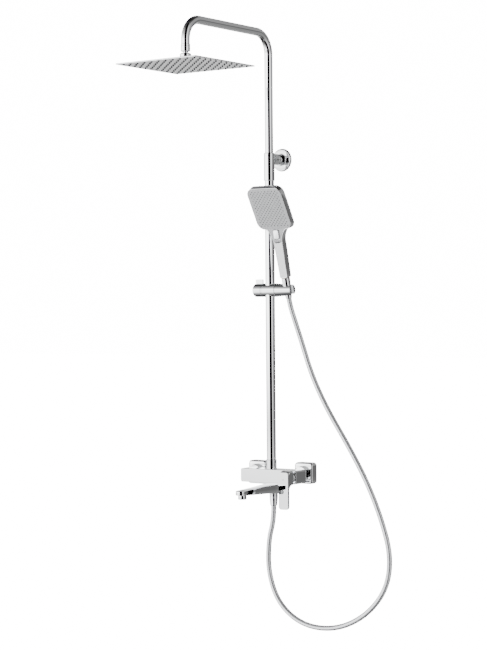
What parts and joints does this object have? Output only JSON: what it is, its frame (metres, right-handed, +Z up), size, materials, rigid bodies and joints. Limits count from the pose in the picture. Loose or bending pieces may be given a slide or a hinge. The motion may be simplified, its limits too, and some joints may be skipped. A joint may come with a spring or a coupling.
{
  "type": "rainfall shower column",
  "caption": "Wall-mounted chrome shower column: lever mixer with swivel spout, riser with bent overhead arm, square rain head, and a hand shower on a sliding holder with a free hose.",
  "frame": {"origin": "midway between the two wall inlets, on the finished wall plane", "axes": "+Z up along the riser, +X along the inlets to the viewer's right, +Y into the wall"},
  "size_m": [0.4955, 0.571, 1.5876],
  "materials": {
    "chrome": "polished chrome plate",
    "brass": "machined brass",
    "steel": "turned stainless steel",
    "head_steel": "polished stainless sheet",
    "rubber": "moulded rubber",
    "dark_rubber": "dark silicone nozzles",
    "white_plastic": "white engineering plastic",
    "grey_plastic": "grey plastic",
    "indicator": "small grey dot",
    "face_grey": "satin light grey face",
    "nozzle_grey": "grey silicone nozzles",
    "panel_white": "gloss pale front panel",
    "plated_plastic": "bright chrome plate on moulded plastic",
    "hose_silver": "smooth silver shower hose"
  },
  "bodies": {
    "column": {"mixer_body": "chrome", "cartridge_housing": "white_plastic", "cartridge_nut": "brass", "cartridge_trim": "chrome", "inlet_union_hot": "brass", "inlet_union_cold": "brass", "union_nut_hot": "chrome", "union_nut_cold": "chrome", "inlet_washers": "rubber", "escutcheon_hot": "chrome", "escutcheon_cold": "chrome", "outlet_barrel": "brass", "spout_seals": "rubber", "spout_retaining_ring": "steel", "riser_collar_nut": "chrome", "riser_lower_tube": "chrome", "riser_washer": "rubber", "riser_sleeve": "chrome", "sleeve_screw": "steel", "bracket_stem": "chrome", "bracket_flange": "chrome", "bracket_wall_base": "brass", "bracket_screw": "steel", "arm_tube": "chrome", "arm_end_nut": "chrome", "ball_stud": "chrome", "hose_nut_lower": "chrome", "hose_washer_lower": "rubber", "hose_tube": "hose_silver"},
    "spout": {"spout": "chrome", "aerator_housing": "chrome", "aerator_insert": "grey_plastic"},
    "cartridge_core": {"cartridge_core": "white_plastic", "lever_pivot_pin": "steel"},
    "lever": {"lever_handle": "chrome", "lever_stem": "steel", "lever_screw": "steel", "lever_indicator": "indicator"},
    "ball_seat": {"ball_seat_ring": "white_plastic"},
    "rain_head": {"head_collar": "chrome", "head_top_plate": "head_steel", "head_spray_plate": "head_steel", "head_nozzles": "dark_rubber"},
    "slider": {"slider_body": "plated_plastic", "slider_bush": "white_plastic", "slider_end_cap": "plated_plastic", "button_spring": "steel", "cradle_screw": "steel"},
    "release_button": {"release_button": "plated_plastic"},
    "cradle": {"cradle": "plated_plastic"},
    "handset": {"handset_shell": "plated_plastic", "handset_face_plate": "face_grey", "handset_nozzles": "nozzle_grey", "handset_handle_panel": "panel_white", "handset_inlet": "brass", "hose_nut_upper": "chrome", "hose_washer_upper": "rubber"},
    "mode_button": {"mode_button": "plated_plastic"}
  },
  "joints": [
    {"name": "spout_swivel", "type": "hinge", "parent": "column", "child": "spout", "pos_m": [0.005, -0.06, -0.04], "axis": [0, 0, 1], "range_deg": [-90, 30]},
    {"name": "lever_turn", "type": "hinge", "parent": "column", "child": "cartridge_core", "pos_m": [0.075, -0.076, -0.0065], "axis": [0, -1, 0], "range_deg": [-30, 45]},
    {"name": "lever_lift", "type": "hinge", "parent": "cartridge_core", "child": "lever", "pos_m": [0.075, -0.076, -0.0065], "axis": [-1, 0, 0], "range_deg": [0, 20]},
    {"name": "head_tilt_front", "type": "hinge", "parent": "column", "child": "ball_seat", "pos_m": [0, -0.428, 1.068], "axis": [1, 0, 0], "range_deg": [-12, 12]},
    {"name": "head_tilt_side", "type": "hinge", "parent": "ball_seat", "child": "rain_head", "pos_m": [0, -0.428, 1.068], "axis": [0, 1, 0], "range_deg": [-12, 12]},
    {"name": "slider_slide", "type": "slide", "parent": "column", "child": "slider", "axis": [0, 0, 1], "range_m": [-0.34, 0.25], "deforming": ["hose_tube"]},
    {"name": "release_press", "type": "slide", "parent": "slider", "child": "release_button", "axis": [0, 0, -1], "range_m": [0, 0.003], "stiffness_N_per_m": 400, "springref_m": -0.001, "deforming": ["button_spring"]},
    {"name": "cradle_tilt", "type": "hinge", "parent": "slider", "child": "cradle", "pos_m": [0.056, -0.062, 0.488], "axis": [1, 0, 0], "range_deg": [-8, 25]},
    {"name": "handset_lift", "type": "slide", "parent": "cradle", "child": "handset", "axis": [0, -0.2656, 0.9641], "range_m": [0, 0.03]},
    {"name": "mode_press", "type": "slide", "parent": "handset", "child": "mode_button", "axis": [0, 0.9641, 0.2656], "range_m": [0, 0.0015], "stiffness_N_per_m": 500, "springref_m": -0.0006}
  ]
}
